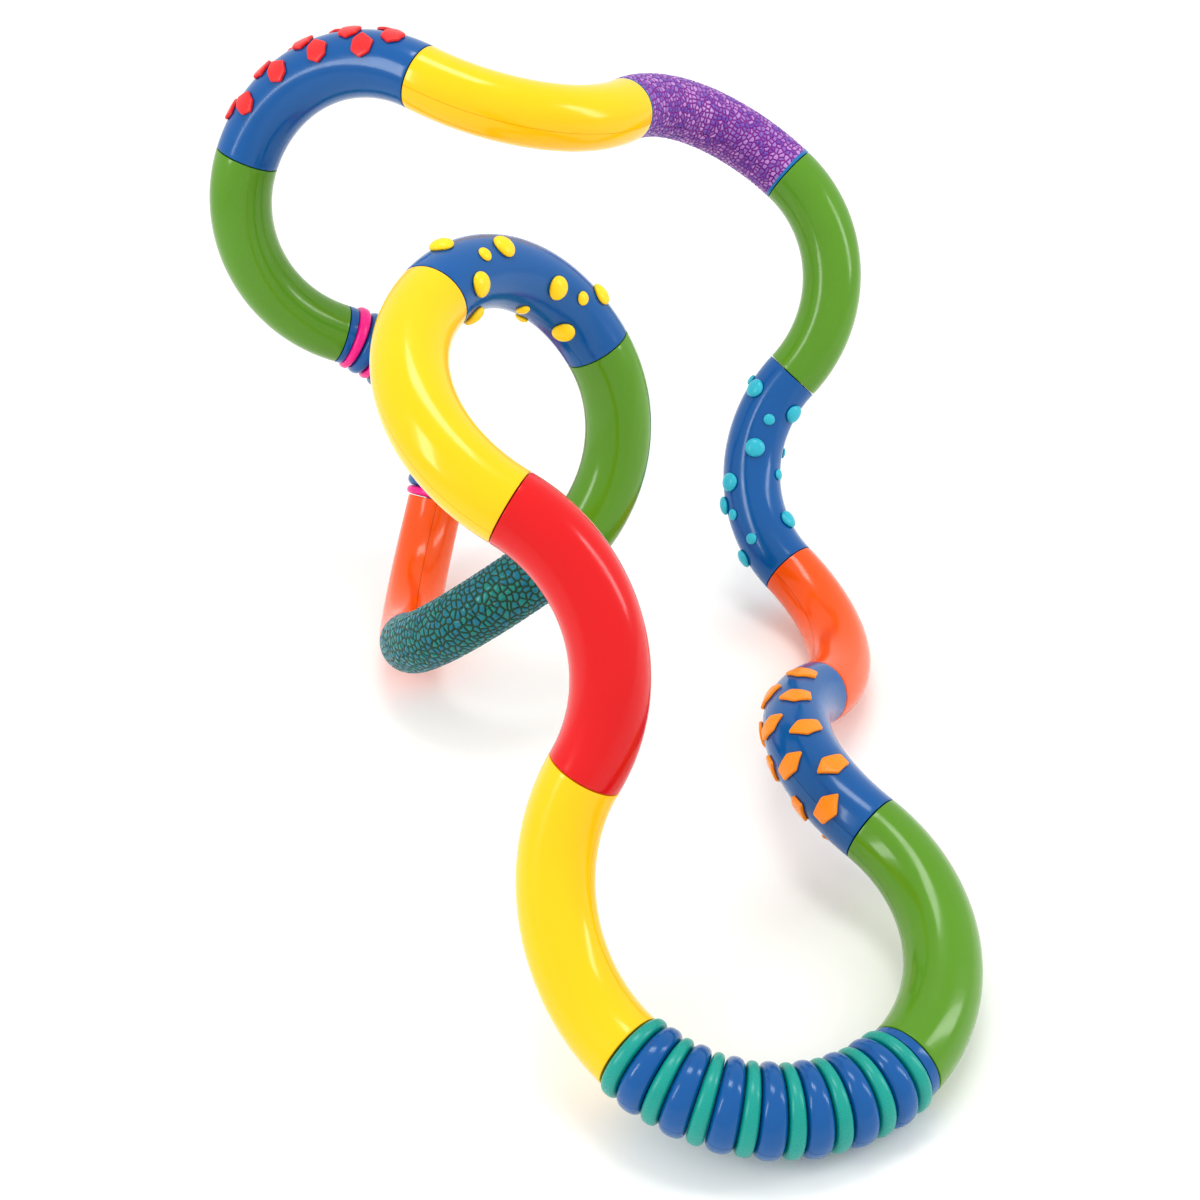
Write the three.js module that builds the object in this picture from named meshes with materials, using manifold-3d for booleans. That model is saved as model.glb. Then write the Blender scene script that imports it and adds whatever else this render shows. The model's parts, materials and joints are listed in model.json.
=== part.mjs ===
// A twist puzzle: a closed loop of 18 hollow quarter-bend tubes, each joined to
// the next by a snap-in swivel peg, so that every segment turns about its neighbour.
//
// Each segment is two clamshell halves, split in the plane of its own bend, with an end
// wall and a bore at each end. A peg trapped in the far end of each segment snaps through
// the near end wall of the next one. Six segments carry a soft second-shot moulding:
// domes, hexagon pads or leaf pads that stand out through holes in the shell, or rings.
//
// Millimetres, +Z up. The toy stands on three of its segments, with the origin on the
// ground under the middle of its bounding box.

import * as THREE from 'three';
import { mergeVertices } from 'three/addons/utils/BufferGeometryUtils.js';
import Module from 'manifold-3d';

const wasm = await Module();
wasm.setup();

// ---------------------------------------------------------------- driving dimensions

const TUBE_RADIUS = 9.5; // outside of a plain segment
const BEND_RADIUS = 45.6; // of a segment's centre line, 2.4 tube diameters
const WALL = 1.6; // shell thickness
const END_WALL = 2.0; // thickness of the wall at each end of a segment
const END_GAP = 0.3; // between two segments' end faces
const OPEN_GAP = 1.2; // the same at the one pivot that is left open
const HALF_GAP = 0.3; // between the two halves of a shell
const FIT = 0.4; // clearance round the second-shot mouldings

const BORE_RADIUS = 3.8; // hole in both end walls, for the peg
const PEG = {
	neckRadius: 3.3,
	flangeRadius: 5.2,
	flangeStart: - 4.6, // distances along the swivel's axis from the joint
	flangeEnd: - 2.6,
	headStart: 2.6,
	headRadius: 4.7,
	tipEnd: 6.6,
	tipRadius: 3.0,
	slotWidth: 1.2,
	slotStart: 0.8,
	sides: 6,
};
const SET_BACK = 8.4; // how far the open pivot's peg is slid back round its own bend

const LINER = { outer: 7.1, inner: 6.3, start: 9, end: 81 }; // radii, and bend angles
const PAD_HEIGHT = 1.2; // of hexagon and leaf pads above the tube
const DOME_HEIGHT = 1.8;
const LARGE_DOME = 3.1; // radius
const SMALL_DOME = 1.8;
const SMALL_DOME_HEIGHT = 1.3;
const HEXAGON = { radius: 3.0, tip: 2.5, stretch: 1.25 };
const LEAF = { radius: 3.1, tip: 2.6, stretch: 1.3 };

const RIB_RADIUS = 10.7; // outside of the bulged ribs
const RING_RADIUS = 10.5; // outside of the soft rings
const RING_BORE = 9.0;
const CORE_RADIUS = 8.2; // of the shell under the rings
const RING_COUNT = 8;
const FIRST_RING = 2.5; // bend angle at the middle of the first ring
const RING_PITCH = 11.7; // bend angle from one ring to the next
const RING_WIDTH = 3.8; // bend angle that a ring covers
const RING_SLOT = 4.8; // bend angle of the groove it sits in
const RUNNER = { width: 1.6, inner: 9.3, outer: 10.1, notch: 2.6, steps: 7 }; // strip joining the rings

const PATH_STEPS = 6; // facets along a quarter bend
const TUBE_SIDES = 10;
const INNER_SIDES = 8; // of the cavity, the liners and the rings

// ---------------------------------------------------------------- colours

const COLOURS = {
	yellow: 0xffd400,
	purple: 0x7a4fa8,
	green: 0x7fb539,
	blue: 0x0a62a9,
	orange: 0xf0502a,
	red: 0xe3201f,
	teal: 0x12706e,
	cyan: 0x3cbcd4,
	amber: 0xf79a1f,
	coral: 0xe8384c,
	aqua: 0x0e9c95,
	pink: 0xe0479e,
	natural: 0xd9d5c8,
};
const SHELL_ROUGHNESS = 0.25;
const PEG_ROUGHNESS = 0.4;
const SOFT_ROUGHNESS = 0.5;

// ---------------------------------------------------------------- the chain

// Segments in order round the loop. twist is how far the segment is turned, in degrees,
// about its own start from the position that would continue the bend before it as one
// circle; 180 makes an S. The values are brought to an exact closed loop by closeLoop.
// reversed puts a segment's relief on from the other end.
const SEGMENTS = [
	{ shell: 'yellow', relief: 'smooth', twist: 105 },
	{ shell: 'purple', relief: 'cobble', twist: - 163 },
	{ shell: 'green', relief: 'smooth', twist: 62 },
	{ shell: 'blue', relief: 'domes', soft: 'cyan', twist: - 161 },
	{ shell: 'orange', relief: 'smooth', twist: 108 },
	{ shell: 'blue', relief: 'leaves', soft: 'amber', twist: - 170 },
	{ shell: 'green', relief: 'smooth', twist: - 154 },
	{ shell: 'blue', relief: 'rings', soft: 'aqua', reversed: true, twist: 2 },
	{ shell: 'yellow', relief: 'smooth', twist: - 53 },
	{ shell: 'red', relief: 'smooth', twist: - 154 },
	{ shell: 'yellow', relief: 'smooth', twist: - 127 },
	{ shell: 'blue', relief: 'domes', soft: 'yellow', reversed: true, twist: 38 },
	{ shell: 'green', relief: 'smooth', twist: 40 },
	{ shell: 'teal', relief: 'cobble', twist: 109 },
	{ shell: 'orange', relief: 'smooth', twist: - 41 },
	{ shell: 'blue', relief: 'rings', soft: 'pink', twist: - 75 },
	{ shell: 'green', relief: 'smooth', twist: 156 },
	{ shell: 'blue', relief: 'hexagons', soft: 'coral', twist: - 41 },
];
const OPEN_PIVOT = 13; // index of the segment whose far end isn't joined to the next one
const FEET = [ 4, 7, 14 ]; // indexes of the three segments that the toy stands on
const ATTITUDE = [ - 6, 19, - 31 ]; // rough attitude of the first segment, degrees about X, Y, Z
const CLOSING_ROUNDS = 20;
const SETTLING_ROUNDS = 12;

// ---------------------------------------------------------------- raised patterns

// [ bend angle, angle round the tube ] in degrees; 0 round the tube is the outside of
// the bend and 90 is half A's side.
const DOME_LAYOUTS = {
	cyan: {
		large: [
			[ 13, 64 ], [ 14, 167 ], [ 36, 110 ], [ 50, 59 ], [ 57, 22 ], [ 72, 167 ],
			[ 77, 19 ], [ 22, - 66 ], [ 46, - 112 ], [ 64, - 48 ],
		],
		small: [ [ 11, 24 ], [ 22, 121 ], [ 62, 52 ], [ 74, 74 ], [ 47, 172 ], [ 34, - 146 ] ],
	},
	yellow: {
		large: [
			[ 16, 65 ], [ 20, 167 ], [ 37, 114 ], [ 62, 64 ], [ 80, 105 ], [ 80, 163 ],
			[ 79, 14 ], [ 22, - 66 ], [ 46, - 112 ], [ 64, - 48 ],
		],
		small: [ [ 24, 104 ], [ 72, 69 ], [ 45, 172 ], [ 34, - 146 ] ],
	},
};
const HEXAGONS = [
	[ 20, - 67 ], [ 37, - 66 ], [ 54, - 63 ], [ 71, - 60 ],
	[ 13, - 28 ], [ 30, - 27 ], [ 47, - 26 ], [ 64, - 25 ], [ 79, - 25 ],
	[ 22, 22 ], [ 39, 22 ], [ 56, 22 ], [ 73, 22 ],
];
const LEAF_COLUMNS = [ 62, 7, - 48, - 103 ];
const LEAF_PLACES = [ 17, 35, 53, 71 ];
const LEAF_STAGGER = 9; // shift of every other column along the bend
const LEAVES = LEAF_COLUMNS.flatMap( ( around, column ) => LEAF_PLACES.map( ( along ) => [
	along + ( column % 2 ) * LEAF_STAGGER,
	around,
] ) );

// ---------------------------------------------------------------- shapes to solids

const rad = THREE.MathUtils.degToRad;
const HALF_PI = Math.PI / 2;

// A segment's own frame: it starts at the origin heading along +X, bends towards +Y
// about (0, BEND_RADIUS, 0), and ends at (BEND_RADIUS, BEND_RADIUS, 0) heading along +Y.
function onBend( angle, radius = BEND_RADIUS ) {

	return new THREE.Vector3( radius * Math.sin( angle ), BEND_RADIUS - radius * Math.cos( angle ), 0 );

}

class Bend extends THREE.Curve {

	constructor( start, end ) {

		super();
		this.start = start;
		this.end = end;

	}

	getPoint( t, target = new THREE.Vector3() ) {

		return target.copy( onBend( THREE.MathUtils.lerp( this.start, this.end, t ) ) );

	}

}

function toSolid( geometry ) {

	geometry.deleteAttribute( 'normal' );
	geometry.deleteAttribute( 'uv' );
	const merged = mergeVertices( geometry, 1e-4 );
	return new wasm.Manifold( new wasm.Mesh( {
		numProp: 3,
		vertProperties: Float32Array.from( merged.attributes.position.array ),
		triVerts: Uint32Array.from( merged.index.array ),
	} ) );

}

// A regular polygon with a flat, not a corner, on the shell's split plane.
function polygon( radius, sides ) {

	const points = [];
	for ( let i = 0; i < sides; i ++ ) {

		const angle = HALF_PI + ( 2 * i + 1 ) * Math.PI / sides;
		points.push( new THREE.Vector2( radius * Math.cos( angle ), radius * Math.sin( angle ) ) );

	}

	return points;

}

// A solid bar along the bend between two angles.
function bar( points, start, end, steps = PATH_STEPS ) {

	return toSolid( new THREE.ExtrudeGeometry( new THREE.Shape( points ), {
		steps,
		bevelEnabled: false,
		extrudePath: new Bend( start, end ),
	} ) );

}

function roundBar( radius, start, end, steps = PATH_STEPS, sides = TUBE_SIDES ) {

	return bar( polygon( radius, sides ), start, end, steps );

}

// A ring or sleeve open at both ends; the bore runs past them.
function hollowBar( outer, inner, start, end, steps ) {

	const overrun = 0.02;
	return roundBar( outer, start, end, steps, INNER_SIDES )
		.subtract( roundBar( inner, start - overrun, end + overrun, steps, INNER_SIDES ) );

}

function block( sx, sy, sz, x, y, z ) {

	return toSolid( new THREE.BoxGeometry( sx, sy, sz ).translate( x, y, z ) );

}

// Moves a shape made about +Y so that +Y stands square out of the tube at ( along, around ).
function standOut( geometry, along, around, height ) {

	const outward = onBend( along, BEND_RADIUS + 1 ).sub( onBend( along ) );
	const normal = outward.multiplyScalar( Math.cos( around ) );
	normal.z = Math.sin( around );
	const tangent = new THREE.Vector3( Math.cos( along ), Math.sin( along ), 0 );
	const across = new THREE.Vector3().crossVectors( tangent, normal );
	const place = new THREE.Matrix4().makeBasis( tangent, normal, across );
	place.setPosition( onBend( along ).addScaledVector( normal, height ) );
	return toSolid( geometry.applyMatrix4( place ) );

}

// A peg or stud under one raised shape: straight to the tube's surface, then drawn in.
// stretch makes it wider round the tube.
function stud( radius, tip, rise, sides, grow = 0, stretch = 1 ) {

	const root = LINER.inner + 0.1 - TUBE_RADIUS;
	const top = grow ? rise + 1 : 0.3;
	const profile = [
		new THREE.Vector2( 0, root - grow ),
		new THREE.Vector2( radius + grow, root - grow ),
		new THREE.Vector2( radius + grow, top ),
		new THREE.Vector2( grow ? 0 : tip, grow ? top : rise ),
	];
	if ( ! grow ) profile.push( new THREE.Vector2( 0, rise ) );
	return new THREE.LatheGeometry( profile, sides ).scale( 1, 1, stretch );

}

function raisedShapes( { relief, reversed, soft } ) {

	const shapes = [];
	const add = ( places, radius, tip, rise, sides, stretch ) => places.forEach( ( [ along, around ] ) => {

		shapes.push( {
			along: rad( reversed ? 90 - along : along ),
			around: rad( reversed ? - around : around ),
			make: ( grow ) => stud( radius, tip, rise, sides, grow, stretch ),
		} );

	} );
	if ( relief === 'domes' ) {

		const { large, small } = DOME_LAYOUTS[ soft ];
		add( large, LARGE_DOME, LARGE_DOME / 2, DOME_HEIGHT, 5, 1 );
		add( small, SMALL_DOME, SMALL_DOME / 2, SMALL_DOME_HEIGHT, 5, 1 );

	}

	if ( relief === 'hexagons' ) add( HEXAGONS, HEXAGON.radius, HEXAGON.tip, PAD_HEIGHT, 6, HEXAGON.stretch );
	if ( relief === 'leaves' ) add( LEAVES, LEAF.radius, LEAF.tip, PAD_HEIGHT, 5, LEAF.stretch );
	return shapes;

}

// ---------------------------------------------------------------- sub-parts

function boreCutter( centre, heading ) {

	const length = 2 * END_WALL + 3;
	const cylinder = new THREE.CylinderGeometry( BORE_RADIUS, BORE_RADIUS, length, INNER_SIDES );
	const turn = new THREE.Quaternion().setFromUnitVectors( new THREE.Vector3( 0, 1, 0 ), heading );
	return toSolid( cylinder.applyQuaternion( turn ).translate( centre.x, centre.y, centre.z ) );

}

// Bend angles at the middle of each ring, in order along the segment.
function ringMiddles( reversed ) {

	const middles = Array.from( { length: RING_COUNT }, ( _, i ) => FIRST_RING + i * RING_PITCH );
	return reversed ? middles.map( ( middle ) => 90 - middle ).reverse() : middles;

}

// What stands on the core of a ringed segment: the bulged ribs between the rings and the
// collar at one end, less the notch that the strip joining the rings lies in.
function ribsAndCollar( reversed, start, end ) {

	const middles = ringMiddles( reversed );
	const first = rad( middles[ 0 ] - RING_SLOT / 2 );
	const last = rad( middles.at( - 1 ) + RING_SLOT / 2 );
	const collar = reversed ? [ start, first ] : [ last, end ];
	const ribs = middles.slice( 1 ).map( ( middle, i ) => {

		const from = rad( middles[ i ] + RING_SLOT / 2 );
		return roundBar( RIB_RADIUS, from, rad( middle - RING_SLOT / 2 ), 1, INNER_SIDES );

	} );
	const notch = stripBar( RUNNER.notch, CORE_RADIUS, RIB_RADIUS + 1, middles );
	return wasm.Manifold.union( ribs ).subtract( notch )
		.add( roundBar( TUBE_RADIUS, ...collar, 1, INNER_SIDES ) );

}

// A flat strip along the inside of the bend, from the first ring to the last.
function stripBar( width, inner, outer, middles ) {

	return bar( [
		new THREE.Vector2( - width / 2, inner ),
		new THREE.Vector2( width / 2, inner ),
		new THREE.Vector2( width / 2, outer ),
		new THREE.Vector2( - width / 2, outer ),
	], rad( middles[ 0 ] ), rad( middles.at( - 1 ) ), RUNNER.steps );

}

// The whole hollow shell of a segment, before it is split into halves.
function shellSolid( segment, startGap, endGap ) {

	const start = startGap / 2 / BEND_RADIUS;
	const end = HALF_PI - endGap / 2 / BEND_RADIUS;
	const wallAngle = END_WALL / BEND_RADIUS;
	const ringed = segment.relief === 'rings';
	const radius = ringed ? CORE_RADIUS : TUBE_RADIUS;
	let shell = roundBar( radius, start, end, PATH_STEPS, ringed ? INNER_SIDES : TUBE_SIDES );
	if ( ringed ) shell = shell.add( ribsAndCollar( segment.reversed, start, end ) );
	const cavityRadius = radius - WALL;
	const cavity = roundBar( cavityRadius, start + wallAngle, end - wallAngle, PATH_STEPS, INNER_SIDES );
	shell = shell.subtract( cavity )
		.subtract( boreCutter( onBend( 0 ), new THREE.Vector3( 1, 0, 0 ) ) )
		.subtract( boreCutter( onBend( HALF_PI ), new THREE.Vector3( 0, 1, 0 ) ) );
	for ( const { make, along, around } of raisedShapes( segment ) ) {

		shell = shell.subtract( standOut( make( FIT ), along, around, TUBE_RADIUS ) );

	}

	return shell;

}

function shellHalves( shell ) {

	const reach = 2 * BEND_RADIUS;
	const height = 2 * TUBE_RADIUS;
	const centre = ( height + HALF_GAP ) / 2;
	return {
		half_a: shell.intersect( block( 2 * reach, 2 * reach, height, BEND_RADIUS, BEND_RADIUS, centre ) ),
		half_b: shell.intersect( block( 2 * reach, 2 * reach, height, BEND_RADIUS, BEND_RADIUS, - centre ) ),
	};

}

// A soft tube inside the shell, with its raised shapes standing out through the shell.
function linerSolid( segment ) {

	const start = rad( LINER.start );
	const end = rad( LINER.end );
	const tube = hollowBar( LINER.outer, LINER.inner, start, end, PATH_STEPS );
	const shapes = raisedShapes( segment )
		.map( ( { make, along, around } ) => standOut( make( 0 ), along, around, TUBE_RADIUS ) );
	return wasm.Manifold.union( [ tube, ...shapes ] );

}

// Soft rings joined by one strip along the inside of the bend.
function ringSetSolid( reversed ) {

	const middles = ringMiddles( reversed );
	const runner = stripBar( RUNNER.width, RUNNER.inner, RUNNER.outer, middles );
	const rings = middles.map( ( middle ) => {

		const start = rad( middle - RING_WIDTH / 2 );
		const end = rad( middle + RING_WIDTH / 2 );
		return hollowBar( RING_RADIUS, RING_BORE, start, end, 1 );

	} );
	return wasm.Manifold.union( [ runner, ...rings ] );

}

// The swivel peg, about +Y with the joint at the origin: a trapped flange, a neck, and a
// split head that snaps through the next segment's end wall.
function pegSolid() {

	const profile = [
		[ 0, PEG.flangeStart ],
		[ PEG.flangeRadius, PEG.flangeStart ],
		[ PEG.flangeRadius, PEG.flangeEnd ],
		[ PEG.neckRadius, PEG.flangeEnd ],
		[ PEG.neckRadius, PEG.headStart ],
		[ PEG.headRadius, PEG.headStart ],
		[ PEG.tipRadius, PEG.tipEnd ],
		[ 0, PEG.tipEnd ],
	].map( ( [ r, y ] ) => new THREE.Vector2( r, y ) );
	const slotLength = PEG.tipEnd + 1 - PEG.slotStart;
	const slot = block( 3 * PEG.headRadius, slotLength, PEG.slotWidth, 0, PEG.slotStart + slotLength / 2, 0 );
	return toSolid( new THREE.LatheGeometry( profile, PEG.sides ) ).subtract( slot );

}

// ---------------------------------------------------------------- closing and standing the loop

// The next segment's frame, from this one's.
function nextFrame( frame, twist ) {

	const turn = new THREE.Euler( twist, 0, HALF_PI, 'ZYX' );
	const place = new THREE.Matrix4().makeRotationFromEuler( turn );
	return frame.clone().multiply( place.setPosition( BEND_RADIUS, BEND_RADIUS, 0 ) );

}

function framesOf( twists, first = new THREE.Matrix4() ) {

	const frames = [ first ];
	for ( let i = 1; i <= twists.length; i ++ ) {

		frames.push( nextFrame( frames[ i - 1 ], twists[ i % twists.length ] ) );

	}

	return frames;

}

function axesOf( frame ) {

	const axes = [ new THREE.Vector3(), new THREE.Vector3(), new THREE.Vector3() ];
	frame.extractBasis( ...axes );
	return axes;

}

// Gaussian elimination with pivoting, for a small square system.
function solve( matrix, values ) {

	const rows = matrix.map( ( row, i ) => [ ...row, values[ i ] ] );
	const n = rows.length;
	for ( let c = 0; c < n; c ++ ) {

		let pivot = c;
		for ( let r = c + 1; r < n; r ++ ) {

			if ( Math.abs( rows[ r ][ c ] ) > Math.abs( rows[ pivot ][ c ] ) ) pivot = r;

		}

		[ rows[ c ], rows[ pivot ] ] = [ rows[ pivot ], rows[ c ] ];
		for ( let r = 0; r < n; r ++ ) {

			if ( r === c ) continue;
			const factor = rows[ r ][ c ] / rows[ c ][ c ];
			for ( let k = c; k <= n; k ++ ) rows[ r ][ k ] -= factor * rows[ c ][ k ];

		}

	}

	return rows.map( ( row, i ) => row[ n ] / row[ i ] );

}

// Spreads the smallest correction over the twists, so that the frame after the last
// segment is the first segment's own.
function closeLoop( twists ) {

	let turned = [ ...twists ];
	for ( let round = 0; round < CLOSING_ROUNDS; round ++ ) {

		const frames = framesOf( turned );
		const last = frames.at( - 1 );
		const end = new THREE.Vector3().setFromMatrixPosition( last );
		const wanted = axesOf( frames[ 0 ] );
		const turn = new THREE.Vector3();
		axesOf( last ).forEach( ( axis, i ) => turn.add( axis.cross( wanted[ i ] ) ) );
		const error = [ ...end.clone().negate(), ...turn.multiplyScalar( BEND_RADIUS / 2 ) ];
		const columns = turned.map( ( _, i ) => {

			const frame = frames[ i === 0 ? turned.length : i ];
			const axis = axesOf( frame )[ 0 ];
			const arm = end.clone().sub( new THREE.Vector3().setFromMatrixPosition( frame ) );
			const move = axis.clone().cross( arm );
			return [ ...move, ...axis.multiplyScalar( BEND_RADIUS ) ];

		} );
		const normal = error.map( ( _, r ) => error.map( ( __, c ) => {

			return columns.reduce( ( sum, column ) => sum + column[ r ] * column[ c ], 0 );

		} ) );
		const weights = solve( normal, error );
		turned = turned.map( ( twist, i ) => {

			return twist + columns[ i ].reduce( ( sum, value, r ) => sum + value * weights[ r ], 0 );

		} );

	}

	return turned;

}

function lowestPoint( frame ) {

	const points = Array.from( { length: 91 }, ( _, degrees ) => onBend( rad( degrees ) ) );
	return points.map( ( point ) => point.applyMatrix4( frame ) )
		.reduce( ( low, point ) => point.z < low.z ? point : low );

}

// Turns the first segment's frame until the three feet touch the ground together.
function settle( twists, attitude ) {

	const start = new THREE.Euler( ...attitude.map( rad ), 'ZYX' );
	const first = new THREE.Matrix4().makeRotationFromEuler( start );
	const up = new THREE.Vector3( 0, 0, 1 );
	for ( let round = 0; round < SETTLING_ROUNDS; round ++ ) {

		const frames = framesOf( twists, first );
		const [ a, b, c ] = FEET.map( ( i ) => lowestPoint( frames[ i ] ) );
		const normal = new THREE.Vector3().crossVectors( b.sub( a ), c.sub( a ) ).normalize();
		if ( normal.z < 0 ) normal.negate();
		const tilt = new THREE.Quaternion().setFromUnitVectors( normal, up );
		first.premultiply( new THREE.Matrix4().makeRotationFromQuaternion( tilt ) );

	}

	return first;

}

// ---------------------------------------------------------------- assembly

function toMesh( name, solid, colour, roughness ) {

	const { vertProperties, triVerts } = solid.getMesh();
	const geometry = new THREE.BufferGeometry();
	const positions = new THREE.BufferAttribute( Float32Array.from( vertProperties ), 3 );
	geometry.setAttribute( 'position', positions );
	geometry.setIndex( new THREE.BufferAttribute( Uint32Array.from( triVerts ), 1 ) );
	geometry.computeVertexNormals();
	const color = COLOURS[ colour ];
	const material = new THREE.MeshStandardMaterial( { color, roughness, metalness: 0 } );
	const mesh = new THREE.Mesh( geometry, material );
	mesh.name = name;
	return mesh;

}

function segmentGroup( segment, index ) {

	const group = new THREE.Group();
	const label = `seg${ String( index + 1 ).padStart( 2, '0' ) }`;
	const before = ( index + SEGMENTS.length - 1 ) % SEGMENTS.length;
	const startGap = before === OPEN_PIVOT ? OPEN_GAP : END_GAP;
	const endGap = index === OPEN_PIVOT ? OPEN_GAP : END_GAP;
	const halves = shellHalves( shellSolid( segment, startGap, endGap ) );
	for ( const [ half, solid ] of Object.entries( halves ) ) {

		const name = `${ label }_${ segment.shell }_shell_${ half }`;
		group.add( toMesh( name, solid, segment.shell, SHELL_ROUGHNESS ) );

	}

	const peg = toMesh( `${ label }_swivel_peg`, pegSolid(), 'natural', PEG_ROUGHNESS );
	const slid = index === OPEN_PIVOT ? SET_BACK / BEND_RADIUS : 0;
	peg.position.copy( onBend( HALF_PI - slid ) );
	peg.rotation.z = - slid;
	group.add( peg );

	if ( segment.relief === 'rings' ) {

		const name = `${ label }_${ segment.soft }_ring_set`;
		group.add( toMesh( name, ringSetSolid( segment.reversed ), segment.soft, SOFT_ROUGHNESS ) );

	} else if ( segment.soft ) {

		const name = `${ label }_${ segment.soft }_${ segment.relief }`;
		group.add( toMesh( name, linerSolid( segment ), segment.soft, SOFT_ROUGHNESS ) );

	}

	return group;

}

const puzzle = new THREE.Group();
const twists = closeLoop( SEGMENTS.map( ( segment ) => rad( segment.twist ) ) );
const firstFrame = settle( twists, ATTITUDE );

// Each segment's group is nested in the one before it, as the chain is.
let parent = puzzle;
SEGMENTS.forEach( ( segment, index ) => {

	const group = segmentGroup( segment, index );
	if ( index === 0 ) {

		firstFrame.decompose( group.position, group.quaternion, group.scale );

	} else {

		group.position.set( BEND_RADIUS, BEND_RADIUS, 0 );
		group.rotation.set( twists[ index ], 0, HALF_PI, 'ZYX' );

	}

	parent.add( group );
	parent = group;

} );

const box = new THREE.Box3().setFromObject( puzzle, true );
const middle = box.getCenter( new THREE.Vector3() );
puzzle.position.set( - middle.x, - middle.y, - box.min.z );
puzzle.updateMatrixWorld( true );

export default puzzle;
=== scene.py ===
import json
import math

import bmesh
import bpy
from bpy.props import FloatProperty, FloatVectorProperty, IntProperty, PointerProperty
from mathutils import Matrix, Vector


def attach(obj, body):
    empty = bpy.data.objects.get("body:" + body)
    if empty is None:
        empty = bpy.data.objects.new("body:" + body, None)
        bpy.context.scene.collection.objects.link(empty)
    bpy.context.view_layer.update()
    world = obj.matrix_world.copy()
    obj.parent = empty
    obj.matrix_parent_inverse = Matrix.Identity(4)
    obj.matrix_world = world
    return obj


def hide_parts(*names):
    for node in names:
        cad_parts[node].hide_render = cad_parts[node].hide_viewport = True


bl_info = {
    "name": "Twisting Loop Puzzle",
    "version": (1, 0, 0),
    "blender": (4, 5, 0),
    "location": "3D View > Sidebar > Loop Puzzle",
    "description": "Builds the visible pieces of a loop of moulded quarter-bend tubes",
    "category": "Object",
}

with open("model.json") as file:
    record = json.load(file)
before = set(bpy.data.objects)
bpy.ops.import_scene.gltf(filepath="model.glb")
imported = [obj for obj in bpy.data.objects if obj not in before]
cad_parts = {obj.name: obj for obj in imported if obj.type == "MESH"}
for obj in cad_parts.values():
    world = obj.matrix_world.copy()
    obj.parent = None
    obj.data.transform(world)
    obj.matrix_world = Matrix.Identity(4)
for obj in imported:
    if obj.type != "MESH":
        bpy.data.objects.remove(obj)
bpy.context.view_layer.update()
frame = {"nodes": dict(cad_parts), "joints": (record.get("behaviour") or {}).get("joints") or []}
SEGMENT_COUNT = 18
QUARTER = math.pi / 2
MM = 0.001

# The relief on each segment that has one. A reversed relief runs from the segment's end.
COBBLED = (2, 14)
RINGED = {8: True, 16: False}
DOMED = {4: False, 12: True}
HEXAGONED = 18
LEAVED = 6
OPEN_END = 14  # its far end isn't joined to the next segment

# Places of the raised shapes: bend angle, angle round the tube. 0 round the tube is the
# outside of the bend and 90 is half A's side.
LARGE_DOMES = {
    4: (
        (13, 64), (14, 167), (36, 110), (50, 59), (57, 22), (72, 167), (77, 19),
        (22, -66), (46, -112), (64, -48),
    ),
    12: (
        (16, 65), (20, 167), (37, 114), (62, 64), (80, 105), (80, 163), (79, 14),
        (22, -66), (46, -112), (64, -48),
    ),
}
SMALL_DOMES = {
    4: ((11, 24), (22, 121), (62, 52), (74, 74), (47, 172), (34, -146)),
    12: ((24, 104), (72, 69), (45, 172), (34, -146)),
}
HEXAGONS = (
    (20, -67), (37, -66), (54, -63), (71, -60),
    (13, -28), (30, -27), (47, -26), (64, -25), (79, -25),
    (22, 22), (39, 22), (56, 22), (73, 22),
)
LEAF_COLUMNS = (62, 7, -48, -103)
LEAF_PLACES = (17, 35, 53, 71)
LEAF_STAGGER = 9

# How the shapes are cut up and eased.
SURFACE_BAND = 0.02 * MM  # only points this near the outer surface take the cobbled relief
WELD = 0.002 * MM
SHARP = math.radians(38)
CELL_RANDOMNESS = 0.85
GROOVE_SHARE = 0.28  # share of a cell's size where its edge slopes
PLAIN_EDGE = 0.35 * MM
SEED_STEP = 37.0
CAVITY_STEPS = 24
DOME_STEPS = 11
DOME_SIDES = 40
DOME_SHOULDER = 0.24  # height of the widest place, as a share of the dome's height
DOME_WAIST = 0.86  # width at the shell's surface, as a share of the dome's width
DOME_BROW = 5 / 7
PAD_TUCK = 0.25 * MM
PAD_SWELL = 0.06 * MM
PAD_CORNER = 0.55 * MM
RING_LIFT = 0.05 * MM  # clearance under a ring

# Outlines of the pads in millimetres: along the bend, round the tube.
HEXAGON_OUTLINE = ((3.2, 1.7), (3.1, -1.9), (0.3, -3.7), (-2.9, -2.1), (-3.1, 1.6), (-1.2, 4.1))
LEAF_OUTLINE = ((2.6, -0.7), (-0.8, -4.8), (-3.6, -1.4), (-3.1, 3.9), (0.8, 4.1))


# ---------------------------------------------------------------- sizes and colours


def linear(text):
    """An sRGB hex colour as linear red, green, blue and alpha."""
    shares = [int(text[i : i + 2], 16) / 255 for i in (0, 2, 4)]
    return (*[s / 12.92 if s <= 0.04045 else ((s + 0.055) / 1.055) ** 2.4 for s in shares], 1.0)


def length(name, description, millimetres):
    return FloatProperty(
        name=name, description=description, default=millimetres * MM, min=0.0, precision=5, unit="LENGTH"
    )


def bend_angle(name, description, degrees):
    return FloatProperty(
        name=name, description=description, default=math.radians(degrees), subtype="ANGLE"
    )


def count(name, description, default, smallest):
    return IntProperty(name=name, description=description, default=default, min=smallest)


def vector(name, description, default, kind):
    return FloatVectorProperty(name=name, description=description, default=default, subtype=kind)


def colour(name, description, text):
    return FloatVectorProperty(
        name=name, description=description, default=linear(text), size=4, min=0.0, max=1.0, subtype="COLOR"
    )


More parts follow.
